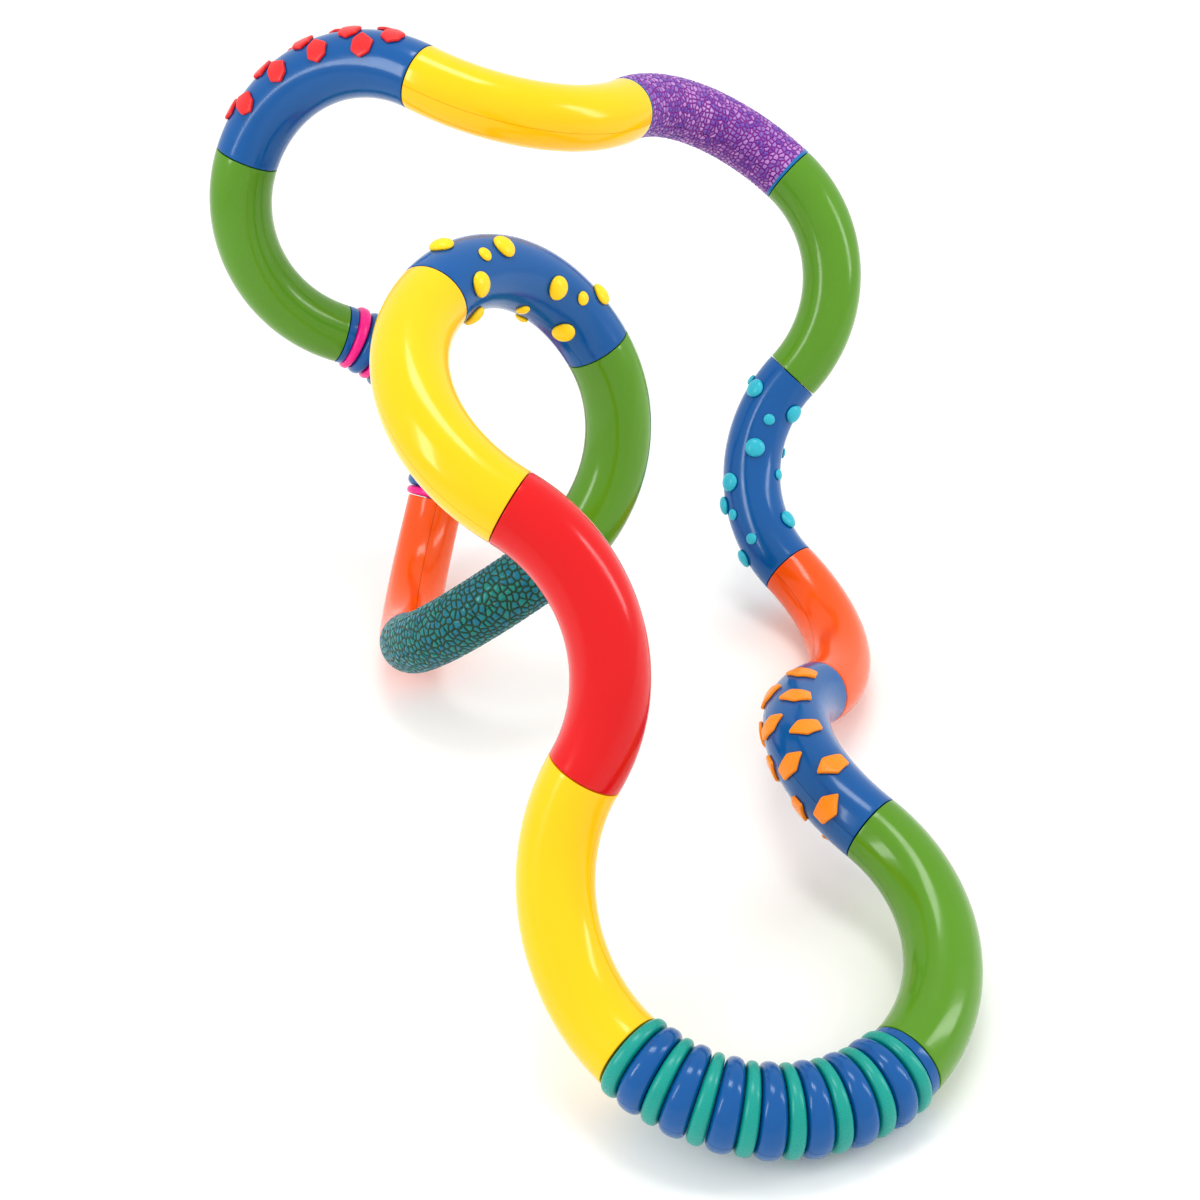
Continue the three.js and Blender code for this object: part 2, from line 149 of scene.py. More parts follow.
class TubeSizes(bpy.types.PropertyGroup):
    """Sizes of the hollow quarter-bend tube."""

    radius: length("Tube radius", "Outside of a plain segment", 9.5)
    wall: length("Wall", "Thickness of the shell", 1.6)
    end_wall: length("End wall", "Thickness of the wall at each end", 2.0)
    bore: length("Bore radius", "Hole in the end walls for the swivel peg", 3.8)
    rounding: length("Edge rounding", "Radius of the outer edge at each end", 0.22)
    end_gap: length("End gap", "Between the end faces of two segments", 0.3)
    open_gap: length("Open gap", "The same at the one swivel that is left open", 1.2)
    seam: length("Seam", "Gap between the two halves of a shell", 0.09)
    along_steps: count("Steps along", "Facets along a quarter bend", 64, 8)
    around_steps: count("Steps around", "Facets round half the tube", 48, 8)
    fine_step: length("Fine step", "Facet size on a cobbled shell", 0.26)


class ReliefSizes(bpy.types.PropertyGroup):
    """Sizes of the raised and cut patterns."""

    dome_radius: length("Large dome", "Radius of a large dome", 3.1)
    dome_height: length("Large dome height", "Height of a large dome", 2.0)
    small_share: FloatProperty(
        name="Small dome", description="Size as a share of a large dome", default=0.6, min=0.1, max=1.0
    )
    root: length("Root", "Depth of a dome or pad below the shell's surface", 0.9)
    pad_height: length("Pad height", "Height of the hexagon and leaf pads", 1.05)
    pad_rounding: length("Pad rounding", "Rounding of the top edge of a pad", 0.42)
    rib_radius: length("Rib radius", "Outside of a bulged rib", 10.7)
    ring_radius: length("Ring radius", "Outside of a soft ring", 10.5)
    core_radius: length("Core radius", "Bottom of the grooves between ribs", 8.2)
    cell_along: length("Cell length", "Spacing of the cobbled cells along the bend", 1.65)
    cell_around: length("Cell width", "The same round the tube, on the teal shell", 2.35)
    groove_depth: length("Groove depth", "Depth of the grooves between cells", 0.34)
    collar: length("Collar", "Smooth band at the end of a cobbled segment", 1.0)
    ring_count: count("Rings", "Number of soft rings", 8, 2)
    first_ring: bend_angle("First ring", "Bend angle of the first ring", 2.5)
    ring_pitch: bend_angle("Ring pitch", "Bend angle between rings", 11.7)
    ring_width: bend_angle("Ring width", "Bend angle that a ring covers", 4.5)
    ring_slot: bend_angle("Ring slot", "Bend angle of a ring's groove", 4.8)


class PuzzleColours(bpy.types.PropertyGroup):
    """Colours of the moulded pieces."""

    yellow: colour("Yellow", "Yellow shells", "FFC200")
    green: colour("Green", "Green shells", "588C1C")
    blue: colour("Blue", "Blue shells", "005696")
    orange: colour("Orange", "Orange shells", "E65406")
    red: colour("Red", "Red shells", "D4060E")
    # The lavender cell tops are a painted highlight, and the magenta and bottle green groove colours are
    # painted shade.
    purple: colour("Purple", "Tops of the cells on the purple shell", "B488C6")
    magenta_groove_shade: colour("Magenta", "Grooves of the purple shell", "7C1488")
    teal: colour("Teal", "Tops of the cells on the teal shell", "0A7C76")
    bottle_groove_shade: colour("Bottle green", "Grooves of the teal shell", "013C24")
    cyan: colour("Cyan", "Cyan domes", "2AAEC2")
    lemon: colour("Lemon", "Yellow domes", "FFCE00")
    amber: colour("Amber", "Leaf pads", "F58E0C")
    coral: colour("Coral", "Hexagon pads", "DC2426")
    aqua: colour("Aqua", "Aqua rings", "00978A")
    pink: colour("Pink", "Pink rings", "EA1288")
    violet: colour("Violet", "Darker cells of the purple shell", "6446A4")
    sea: colour("Sea blue", "Bluer cells of the teal shell", "086C84")
    collar: colour("Collar", "Smooth band on the cobbled shells", "0B6DA8")
    natural: colour("Natural", "Swivel pegs", "E4E0D2")
    floor: colour("Floor", "Studio floor", "F7F7F5")


class StageSettings(bpy.types.PropertyGroup):
    """The camera and the size of the studio floor."""

    lens: FloatProperty(
        name="Focal length", description="On a 36 mm sensor", default=47.3, subtype="DISTANCE_CAMERA"
    )
    eye: vector("Camera place", "In the part's frame", (0.01423, -0.36068, 0.3126), "XYZ")
    gaze: vector("Viewing direction", "Straight ahead", (-0.0068, 0.8154, -0.57885), "DIRECTION")
    side: vector("Camera right", "In the part's frame", (0.99798, -0.031, -0.05539), "DIRECTION")
    floor_radius: length("Floor radius", "Half the width of the floor", 9000)
    drop: length("Floor drop", "Gap between the floor and the part, so that they don't touch", 0.05)


# ---------------------------------------------------------------- the chain's frames


def axis_at(places, number):
    """The tube's tangent at the start of a segment, pointing along the chain."""
    here, axis = places[number]
    after = number % SEGMENT_COUNT + 1
    before = (number - 2) % SEGMENT_COUNT + 1
    along = places[after][0] - here if after in places else here - places[before][0]
    return axis if along.dot(axis) > 0 else -axis


def segment_frames():
    """The bend radius, and each segment's matrix: it starts at its origin along X and bends towards Y."""
    places = {}
    for joint in frame["joints"]:
        number = int(joint["name"].split("_")[2])
        places[number] = (Vector(joint["pos_m"]), Vector(joint["axis"]).normalized())
    bend = (places[2][0] - places[1][0]).length / math.sqrt(2)
    starts = {number: place for number, (place, axis) in places.items()}
    tangents = {number: axis_at(places, number) for number in places}
    loose = OPEN_END + 1
    before, after = loose - 1, loose + 1
    span = (starts[after] - starts[before]) / bend
    tangents[loose] = ((span - tangents[before] - tangents[after]) / 2).normalized()
    starts[loose] = starts[before] + bend * (tangents[before] + tangents[loose])
    frames = {}
    for number in range(1, SEGMENT_COUNT + 1):
        x = tangents[number]
        y = tangents[number % SEGMENT_COUNT + 1]
        place = Matrix((x, y, x.cross(y))).transposed().to_4x4()
        place.translation = starts[number]
        frames[number] = place
    return bend, frames


BEND, FRAMES = segment_frames()


def body_of(number):
    return f"segment_{number:02d}"


def nodes_of(number, word):
    """Names of a segment's CAD nodes that hold a word."""
    found = sorted(n for n in frame["nodes"] if n.startswith(f"seg{number:02d}_") and word in n)
    if not found:
        raise RuntimeError(f"segment {number} has no CAD node with {word} in its name")
    return found


# ---------------------------------------------------------------- node trees


def add_node(tree, kind, settings=None, inputs=None):
    """Adds a node, sets its settings, and sets or links its inputs."""
    node = tree.nodes.new(kind)
    for name, value in (settings or {}).items():
        setattr(node, name, value)
    for socket, value in (inputs or {}).items():
        if isinstance(value, bpy.types.NodeSocket):
            tree.links.new(value, node.inputs[socket])
        else:
            node.inputs[socket].default_value = value
    return node


def new_tree(name, inputs, outputs):
    """A geometry node tree with named sockets, and its input and output nodes."""
    tree = bpy.data.node_groups.new(name, "GeometryNodeTree")
    for label, kind in inputs:
        tree.interface.new_socket(label, in_out="INPUT", socket_type=kind)
    for label, kind in outputs:
        tree.interface.new_socket(label, in_out="OUTPUT", socket_type=kind)
    return tree, tree.nodes.new("NodeGroupInput").outputs, tree.nodes.new("NodeGroupOutput").inputs


def place_on_bend_tree():
    """Turns distance along the bend, radius and angle round the tube into a place."""
    tree, given, result = new_tree(
        "Place on the bend",
        [("Along", "NodeSocketFloat"), ("Radius", "NodeSocketFloat"), ("Around", "NodeSocketFloat"),
         ("Bend Radius", "NodeSocketFloat")],
        [("Position", "NodeSocketVector")],
    )
    maths = "ShaderNodeMath"
    angle = add_node(
        tree, maths, {"operation": "DIVIDE"}, {0: given["Along"], 1: given["Bend Radius"]}
    ).outputs[0]
    sine = add_node(tree, maths, {"operation": "SINE"}, {0: angle}).outputs[0]
    cosine = add_node(tree, maths, {"operation": "COSINE"}, {0: angle}).outputs[0]
    side = add_node(tree, maths, {"operation": "COSINE"}, {0: given["Around"]}).outputs[0]
    rise = add_node(tree, maths, {"operation": "SINE"}, {0: given["Around"]}).outputs[0]
    reach = add_node(
        tree, maths, {"operation": "MULTIPLY_ADD"}, {0: given["Radius"], 1: side, 2: given["Bend Radius"]}
    ).outputs[0]
    x = add_node(tree, maths, {"operation": "MULTIPLY"}, {0: reach, 1: sine}).outputs[0]
    back = add_node(tree, maths, {"operation": "MULTIPLY"}, {0: reach, 1: cosine}).outputs[0]
    y = add_node(tree, maths, {"operation": "SUBTRACT"}, {0: given["Bend Radius"], 1: back}).outputs[0]
    z = add_node(tree, maths, {"operation": "MULTIPLY"}, {0: given["Radius"], 1: rise}).outputs[0]
    place = add_node(tree, "ShaderNodeCombineXYZ", inputs={0: x, 1: y, 2: z})
    tree.links.new(place.outputs[0], result["Position"])
    return tree


def swept_wall_tree(place_tree, cobbled):
    """Turns an outline, drawn as distance along and radius, into a wall swept round the tube and bent.

    A cobbled wall has its outer surface pressed in between cells first.
    """
    inputs = [
        ("Outline", "NodeSocketGeometry"), ("Bend Radius", "NodeSocketFloat"), ("From", "NodeSocketFloat"),
        ("To", "NodeSocketFloat"), ("Steps", "NodeSocketInt"), ("Caps", "NodeSocketBool"),
        ("Material", "NodeSocketMaterial"),
    ]
    if cobbled:
        inputs += [
            (label, "NodeSocketFloat") for label in
            ("Tube Radius", "Cell Along", "Cell Around", "Groove Depth", "Relief Start", "Relief End", "Seed")
        ]
    tree, given, result = new_tree(
        "Cobbled wall" if cobbled else "Swept wall", inputs, [("Wall", "NodeSocketGeometry")]
    )
    maths = "ShaderNodeMath"
    line = add_node(tree, "GeometryNodeCurvePrimitiveLine", inputs={"End": (0.0, 0.0, 1.0)})
    points = add_node(tree, maths, {"operation": "ADD"}, {0: given["Steps"], 1: 1.0})
    rail = add_node(
        tree, "GeometryNodeResampleCurve", inputs={"Curve": line.outputs[0], "Count": points.outputs[0]}
    )
    prism = add_node(
        tree, "GeometryNodeCurveToMesh",
        inputs={"Curve": rail.outputs[0], "Profile Curve": given["Outline"], "Fill Caps": given["Caps"]},
    )
    position = add_node(tree, "GeometryNodeInputPosition")
    split = add_node(tree, "ShaderNodeSeparateXYZ", inputs={0: position.outputs[0]})
    around = add_node(
        tree, "ShaderNodeMapRange",
        inputs={"Value": split.outputs[2], "To Min": given["From"], "To Max": given["To"]},
    )
    shape, radius = prism.outputs[0], split.outputs[1]
    if cobbled:
        arc = add_node(
            tree, maths, {"operation": "MULTIPLY"}, {0: around.outputs[0], 1: given["Tube Radius"]}
        )
        column = add_node(tree, maths, {"operation": "DIVIDE"}, {0: split.outputs[0], 1: given["Cell Along"]})
        row = add_node(tree, maths, {"operation": "DIVIDE"}, {0: arc.outputs[0], 1: given["Cell Around"]})
        flat = add_node(tree, "ShaderNodeCombineXYZ", inputs={0: column.outputs[0], 1: row.outputs[0]})
        shift = add_node(
            tree, "ShaderNodeVectorMath", {"operation": "ADD"}, {0: flat.outputs[0], 1: given["Seed"]}
        )
        edge = add_node(
            tree, "ShaderNodeTexVoronoi", {"voronoi_dimensions": "2D", "feature": "DISTANCE_TO_EDGE"},
            {"Vector": shift.outputs[0], "Scale": 1.0, "Randomness": CELL_RANDOMNESS},
        )
        cell = add_node(
            tree, "ShaderNodeTexVoronoi", {"voronoi_dimensions": "2D", "feature": "F1"},
            {"Vector": shift.outputs[0], "Scale": 1.0, "Randomness": CELL_RANDOMNESS},
        )
        height = add_node(
            tree, "ShaderNodeMapRange", {"interpolation_type": "SMOOTHERSTEP"},
            {"Value": edge.outputs["Distance"], "From Min": 0.0, "From Max": GROOVE_SHARE},
        )
        brink = add_node(
            tree, maths, {"operation": "SUBTRACT"}, {0: given["Tube Radius"], 1: SURFACE_BAND}
        )
        outer = add_node(
            tree, maths, {"operation": "GREATER_THAN"},
            {0: radius, 1: brink.outputs[0]},
        )
        past = add_node(
            tree, maths, {"operation": "GREATER_THAN"}, {0: split.outputs[0], 1: given["Relief Start"]}
        )
        short = add_node(
            tree, maths, {"operation": "LESS_THAN"}, {0: split.outputs[0], 1: given["Relief End"]}
        )
        inside = add_node(tree, maths, {"operation": "MULTIPLY"}, {0: past.outputs[0], 1: short.outputs[0]})
        mask = add_node(tree, maths, {"operation": "MULTIPLY"}, {0: inside.outputs[0], 1: outer.outputs[0]})
        low = add_node(tree, maths, {"operation": "SUBTRACT"}, {0: height.outputs[0], 1: 1.0})
        depth = add_node(
            tree, maths, {"operation": "MULTIPLY"}, {0: low.outputs[0], 1: given["Groove Depth"]}
        )
        cut = add_node(tree, maths, {"operation": "MULTIPLY"}, {0: depth.outputs[0], 1: mask.outputs[0]})
        tint = add_node(tree, "FunctionNodeSeparateColor", inputs={0: cell.outputs["Color"]})
        for name, source in (("relief", height), ("tint", tint), ("cobbled", mask)):
            store = add_node(
                tree, "GeometryNodeStoreNamedAttribute", {"data_type": "FLOAT", "domain": "POINT"},
                {"Geometry": shape, "Name": name, "Value": source.outputs[0]},
            )
            shape = store.outputs[0]
        radius = add_node(tree, maths, {"operation": "ADD"}, {0: radius, 1: cut.outputs[0]}).outputs[0]
    place = add_node(
        tree, "GeometryNodeGroup", {"node_tree": place_tree},
        {"Along": split.outputs[0], "Radius": radius, "Around": around.outputs[0],
         "Bend Radius": given["Bend Radius"]},
    )
    bent = add_node(tree, "GeometryNodeSetPosition", inputs={"Geometry": shape, "Position": place.outputs[0]})
    joined = add_node(
        tree, "GeometryNodeMergeByDistance", inputs={"Geometry": bent.outputs[0], "Distance": WELD}
    )
    real = add_node(tree, "GeometryNodeRealizeInstances", inputs={"Geometry": joined.outputs[0]})
    done = add_node(
        tree, "GeometryNodeSetMaterial", inputs={"Geometry": real.outputs[0], "Material": given["Material"]}
    )
    tree.links.new(done.outputs[0], result["Wall"])
    return tree


def raised_shapes_tree(place_tree):
    """Puts one shape at every point of a layout and wraps it on the bent tube.

    A layout point's X is its bend angle, its Y the angle round the tube and its Z a size.
    """
    tree, given, result = new_tree(
        "Raised shapes",
        [("Layout", "NodeSocketGeometry"), ("Shape", "NodeSocketObject"), ("Bend Radius", "NodeSocketFloat"),
         ("Tube Radius", "NodeSocketFloat"), ("Material", "NodeSocketMaterial")],
        [("Shapes", "NodeSocketGeometry")],
    )
    maths = "ShaderNodeMath"
    layout = add_node(tree, "GeometryNodeInputPosition").outputs[0]
    kept = add_node(
        tree, "GeometryNodeStoreNamedAttribute", {"data_type": "FLOAT_VECTOR", "domain": "POINT"},
        {"Geometry": given["Layout"], "Name": "centre", "Value": layout},
    )
    size = add_node(
        tree, "ShaderNodeSeparateXYZ",
        inputs={0: add_node(tree, "GeometryNodeInputNamedAttribute", {"data_type": "FLOAT_VECTOR"},
                            {"Name": "centre"}).outputs[0]},
    )
    origin = add_node(tree, "ShaderNodeCombineXYZ")
    gathered = add_node(
        tree, "GeometryNodeSetPosition", inputs={"Geometry": kept.outputs[0], "Position": origin.outputs[0]}
    )
    source = add_node(tree, "GeometryNodeObjectInfo", inputs={"Object": given["Shape"]})
    copies = add_node(
        tree, "GeometryNodeInstanceOnPoints",
        inputs={"Points": gathered.outputs[0], "Instance": source.outputs["Geometry"],
                "Scale": size.outputs[2]},
    )
    real = add_node(tree, "GeometryNodeRealizeInstances", inputs={"Geometry": copies.outputs[0]})
    own = add_node(
        tree, "ShaderNodeSeparateXYZ", inputs={0: add_node(tree, "GeometryNodeInputPosition").outputs[0]}
    )
    side = add_node(tree, maths, {"operation": "COSINE"}, {0: size.outputs[1]})
    reach = add_node(
        tree, maths, {"operation": "MULTIPLY_ADD"},
        {0: given["Tube Radius"], 1: side.outputs[0], 2: given["Bend Radius"]},
    )
    stretch = add_node(tree, maths, {"operation": "DIVIDE"}, {0: given["Bend Radius"], 1: reach.outputs[0]})
    centre = add_node(tree, maths, {"operation": "MULTIPLY"}, {0: size.outputs[0], 1: given["Bend Radius"]})
    along = add_node(
        tree, maths, {"operation": "MULTIPLY_ADD"},
        {0: own.outputs[0], 1: stretch.outputs[0], 2: centre.outputs[0]},
    )
    turn = add_node(tree, maths, {"operation": "DIVIDE"}, {0: own.outputs[1], 1: given["Tube Radius"]})
    around = add_node(tree, maths, {"operation": "ADD"}, {0: size.outputs[1], 1: turn.outputs[0]})
    radius = add_node(tree, maths, {"operation": "ADD"}, {0: own.outputs[2], 1: given["Tube Radius"]})
    place = add_node(
        tree, "GeometryNodeGroup", {"node_tree": place_tree},
        {"Along": along.outputs[0], "Radius": radius.outputs[0], "Around": around.outputs[0],
         "Bend Radius": given["Bend Radius"]},
    )
    bent = add_node(
        tree, "GeometryNodeSetPosition", inputs={"Geometry": real.outputs[0], "Position": place.outputs[0]}
    )
    whole = add_node(tree, "GeometryNodeRealizeInstances", inputs={"Geometry": bent.outputs[0]})
    done = add_node(
        tree, "GeometryNodeSetMaterial", inputs={"Geometry": whole.outputs[0], "Material": given["Material"]}
    )
    tree.links.new(done.outputs[0], result["Shapes"])
    return tree


def shared_tree(name):
    """One of the node trees by name, built the first time that it is asked for."""
    found = bpy.data.node_groups.get(name)
    if found:
        return found
    if name == "Place on the bend":
        return place_on_bend_tree()
    place_tree = shared_tree("Place on the bend")
    if name == "Raised shapes":
        return raised_shapes_tree(place_tree)
    return swept_wall_tree(place_tree, name == "Cobbled wall")


def evaluated_mesh(data, tree_name, values, name):
    """The plain mesh that a node tree makes from a curve or a layout."""
    source = bpy.data.objects.new(name + "_source", data)
    bpy.context.scene.collection.objects.link(source)
    modifier = source.modifiers.new("Shape", "NODES")
    tree = shared_tree(tree_name)
    identifiers = {item.name: item.identifier for item in tree.interface.items_tree if item.in_out == "INPUT"}
    modifier.node_group = tree
    for label, value in values.items():
        modifier[identifiers[label]] = value
    graph = bpy.context.evaluated_depsgraph_get()
    mesh = bpy.data.meshes.new_from_object(
        source.evaluated_get(graph), preserve_all_data_layers=True, depsgraph=graph
    )
    mesh.name = name
    mesh.materials.clear()
    mesh.materials.append(values["Material"])
    mesh.polygons.foreach_set("material_index", [0] * len(mesh.polygons))
    source.modifiers.remove(modifier)
    bpy.data.objects.remove(source)
    if not mesh.polygons:
        raise RuntimeError(f"{name} came out empty")
    return mesh


# ---------------------------------------------------------------- shared mesh work


def finish_piece(mesh, name, number, nodes):
    """Puts a mesh made in a segment's own frame in its place, and hands it to its body."""
    mesh.transform(FRAMES[number])
    mesh.shade_smooth()
    mesh.set_sharp_from_angle(angle=SHARP)
    piece = bpy.data.objects.new(name, mesh)
    bpy.context.scene.collection.objects.link(piece)
    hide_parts(*nodes)
    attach(piece, body_of(number))
    return piece


def join_meshes(meshes, name):
    """One mesh from several, with the first one's material."""
    joined = bmesh.new()
    for mesh in meshes:
        joined.from_mesh(mesh)
    whole = bpy.data.meshes.new(name)
    joined.to_mesh(whole)
    joined.free()
    whole.materials.append(meshes[0].materials[0])
    return whole


def outline_curve(points, name):
    """A closed flat curve through points given as distance along and radius."""
    curve = bpy.data.curves.new(name, "CURVE")
    curve.dimensions = "2D"
    curve.fill_mode = "NONE"
    spline = curve.splines.new("POLY")
    spline.points.add(len(points) - 1)
    for knot, (along, radius) in zip(spline.points, points):
        knot.co = (along, radius, 0.0, 1.0)
    spline.use_cyclic_u = True
    return curve


def spread(start, end, steps):
    """Evenly spaced numbers from start to end, both included."""
    return [start + (end - start) * i / steps for i in range(steps + 1)]


def bulge(middle, half_width, base, top, steps=14, fullness=2.4):
    """Points over a barrel-shaped band, from its far foot back to its near foot."""
    points = []
    for share in spread(math.pi, 0.0, steps):
        across = -math.cos(share)
        lift = max(0.0, 1 - abs(across) ** fullness) ** (1 / fullness)
        points.append((middle + half_width * across, base + (top - base) * lift))
    return points


def span_of(number, tube):
    """Where a segment's material starts and ends, as distances along its bend."""
    whole = QUARTER * BEND
    start = tube.open_gap if number == OPEN_END + 1 else tube.end_gap
    end = tube.open_gap if number == OPEN_END else tube.end_gap
    return start / 2, whole - end / 2


def corner(x, y, rounding, first, last, steps=5):
    """Points round a quarter circle about a place, between two angles in degrees."""
    return [
        (x + rounding * math.cos(math.radians(a)), y + rounding * math.sin(math.radians(a)))
        for a in spread(first, last, steps)
    ]


def shell_outline(number, tube, crest, inner_radius):
    """The outline of a hollow shell with end walls; crest is its outer line, from far end to near."""
    start, end = span_of(number, tube)
    near, far = start + tube.end_wall, end - tube.end_wall
    cavity = [(x, inner_radius) for x in spread(near, far, CAVITY_STEPS)]
    return [(start, tube.bore), (near, tube.bore), *cavity, (far, tube.bore), (end, tube.bore), *crest]


def plain_crest(number, tube, steps):
    """The outer line of a smooth shell, from its far end to its near end, with rounded edges."""
    start, end = span_of(number, tube)
    low = tube.radius - tube.rounding
    middle = [(x, tube.radius) for x in spread(end - tube.rounding, start + tube.rounding, steps)]
    return [
        *corner(end - tube.rounding, low, tube.rounding, 0, 90)[:-1],
        *middle,
        *corner(start + tube.rounding, low, tube.rounding, 90, 180)[1:],
    ]


def ring_middles(relief, reversed_run):
    """Bend angle at the middle of each ring, in order along the segment."""
    middles = [relief.first_ring + i * relief.ring_pitch for i in range(relief.ring_count)]
    return [QUARTER - m for m in reversed(middles)] if reversed_run else middles


def ribbed_crest(number, tube, relief, reversed_run):
    """The outer line of a ringed shell: a plain collar, then grooves and bulged ribs."""
    start, end = span_of(number, tube)
    middles = ring_middles(relief, reversed_run)
    half_slot = relief.ring_slot / 2 * BEND
    ribs = []
    for before, after in zip(middles, middles[1:]):
        near, far = before * BEND + half_slot, after * BEND - half_slot
        ribs += [bulge((near + far) / 2, (far - near) / 2, relief.core_radius, relief.rib_radius, 22)]
    low = tube.radius - tube.rounding
    if reversed_run:
        edge = middles[0] * BEND - half_slot
        collar = [
            (edge, relief.core_radius),
            *corner(edge - tube.rounding, low, tube.rounding, 0, 90),
            *corner(start + tube.rounding, low, tube.rounding, 90, 180),
        ]
        return [(end, relief.core_radius), *[p for rib in reversed(ribs) for p in rib], *collar]
    edge = middles[-1] * BEND + half_slot
    collar = [
        *corner(end - tube.rounding, low, tube.rounding, 0, 90),
        *corner(edge + tube.rounding, low, tube.rounding, 90, 180),
        (edge, relief.core_radius),
    ]
    return [*collar, *[p for rib in reversed(ribs) for p in rib], (start, relief.core_radius)]


def half_angles(half, tube):
    """Angles round the tube between which a half shell lies, largest first."""
    slack = tube.seam / 2 / tube.radius
    return (math.pi - slack, slack) if half == "half_a" else (-slack, slack - math.pi)


def build_halves(number, outline, tree_name, material, extra=None):
    """Both half shells of one segment, swept from the same outline."""
    tube = bpy.context.scene.puzzle_tube
    for node in nodes_of(number, "_shell_"):
        half = "half_a" if node.endswith("half_a") else "half_b"
        first, last = half_angles(half, tube)
        values = {
            "Bend Radius": BEND, "From": first, "To": last, "Steps": tube.around_steps, "Caps": True,
            "Material": material, **(extra or {}),
        }
        mesh = evaluated_mesh(outline_curve(outline, node), tree_name, values, node + "_mesh")
        finish_piece(mesh, node.replace("_shell_", "_moulded_shell_"), number, [node])


# ---------------------------------------------------------------- shapes of domes and pads


def dome_shape(relief):
    """A button dome with a slightly tucked-in foot, which leaves a thin dark line round it."""
    radius, height = relief.dome_radius, relief.dome_height
    shoulder = DOME_SHOULDER * height
    waist = DOME_WAIST * radius
    brow = waist + DOME_BROW * (radius - waist)
    profile = [(waist, -relief.root), (waist, 0.0), (brow, 0.4 * shoulder), (radius, shoulder)]
    for angle in spread(0.0, QUARTER, DOME_STEPS)[1:-1]:
        profile.append((radius * math.cos(angle), shoulder + (height - shoulder) * math.sin(angle)))
    return lathe("dome_shape", profile, height, -relief.root, DOME_SIDES)


def lathe(name, profile, top, bottom, sides):
    """A closed turned shape about Z from its side line, given from the foot upwards."""
    shape = bmesh.new()
    rings = [
        [shape.verts.new((r * math.cos(a), r * math.sin(a), z)) for a in spread(0, 2 * math.pi, sides)[:-1]]
        for r, z in profile
    ]
    for lower, upper in zip(rings, rings[1:]):
        for i in range(sides):
            j = (i + 1) % sides
            shape.faces.new((lower[i], lower[j], upper[j], upper[i]))
    crown = shape.verts.new((0.0, 0.0, top))
    base = shape.verts.new((0.0, 0.0, bottom))
    for i in range(sides):
        j = (i + 1) % sides
        shape.faces.new((rings[-1][i], rings[-1][j], crown))
        shape.faces.new((rings[0][j], rings[0][i], base))
    return shape_object(name, shape)


def shape_object(name, shape):
    """An unlinked object that a node tree can read, from a bmesh."""
    mesh = bpy.data.meshes.new(name)
    shape.to_mesh(mesh)
    shape.free()
    return bpy.data.objects.new(name, mesh)


def rounded_outline(corners, rounding, steps):
    """The outline of a polygon with rounded corners and evenly cut sides."""
    points = []
    count = len(corners)
    for i, here in enumerate(corners):
        middle = Vector(here)
        before = (Vector(corners[i - 1]) - middle).normalized()
        after = (Vector(corners[(i + 1) % count]) - middle).normalized()
        near, far = middle + before * rounding, middle + after * rounding
        for share in spread(0.0, 1.0, 4):
            points.append(near.lerp(middle, share).lerp(middle.lerp(far, share), share))
        following = Vector(corners[(i + 1) % count])
        stop = following + (middle - following).normalized() * rounding
        points += [far.lerp(stop, share) for share in spread(0.0, 1.0, steps)[1:-1]]
    return points


def pad_shape(name, corners, relief, mirrored):
    """A flat pad of a given outline, in millimetres, with a rounded top edge and a slightly sloped side."""
    side = -1 if mirrored else 1
    ordered = [(x * MM, side * y * MM) for x, y in corners]
    area = sum(a[0] * b[1] - b[0] * a[1] for a, b in zip(ordered, ordered[1:] + ordered[:1]))
    if area < 0:
        ordered.reverse()
    outline = rounded_outline(ordered, PAD_CORNER, 6)
    centre = sum(outline, Vector((0.0, 0.0))) / len(outline)
    height, rounding, foot = relief.pad_height, relief.pad_rounding, relief.root
    levels = [(-PAD_TUCK, -foot), (-PAD_TUCK, 0.0), (PAD_SWELL, 0.3 * height), (0.0, height - rounding)]
    for angle in spread(0.0, QUARTER, 4)[1:]:
        levels.append((-rounding * (1 - math.cos(angle)), height - rounding * (1 - math.sin(angle))))
    shape = bmesh.new()
    rings = []
    for grow, z in levels:
        ring = []
        for point in outline:
            away = point - centre
            ring.append(shape.verts.new((*(centre + away * (1 + grow / away.length)), z)))
        rings.append(ring)
    inset = levels[-1][0]
    for share in (0.75, 0.5, 0.25):
        rings.append([
            shape.verts.new((*(centre + (p - centre) * (1 + inset / (p - centre).length) * share), height))
            for p in outline
        ])
    count = len(outline)
    for lower, upper in zip(rings, rings[1:]):
        for i in range(count):
            j = (i + 1) % count
            shape.faces.new((lower[i], lower[j], upper[j], upper[i]))
    crown = shape.verts.new((*centre, height))
    base = shape.verts.new((*centre, -foot))
    for i in range(count):
        j = (i + 1) % count
        shape.faces.new((rings[-1][i], rings[-1][j], crown))
        shape.faces.new((rings[0][j], rings[0][i], base))
    return shape_object(name, shape)


def layout_mesh(places, size=1.0):
    """A mesh of loose points, one for each raised shape."""
    mesh = bpy.data.meshes.new("layout")
    mesh.from_pydata([(math.radians(a), math.radians(t), size) for a, t in places], [], [])
    return mesh


def raised_mesh(name, places, shape, material, size=1.0):
    """Copies of one shape at given places on a segment, in the segment's own frame."""
    tube = bpy.context.scene.puzzle_tube
    values = {"Shape": shape, "Bend Radius": BEND, "Tube Radius": tube.radius, "Material": material}
    return evaluated_mesh(layout_mesh(places, size), "Raised shapes", values, name)


# ---------------------------------------------------------------- materials


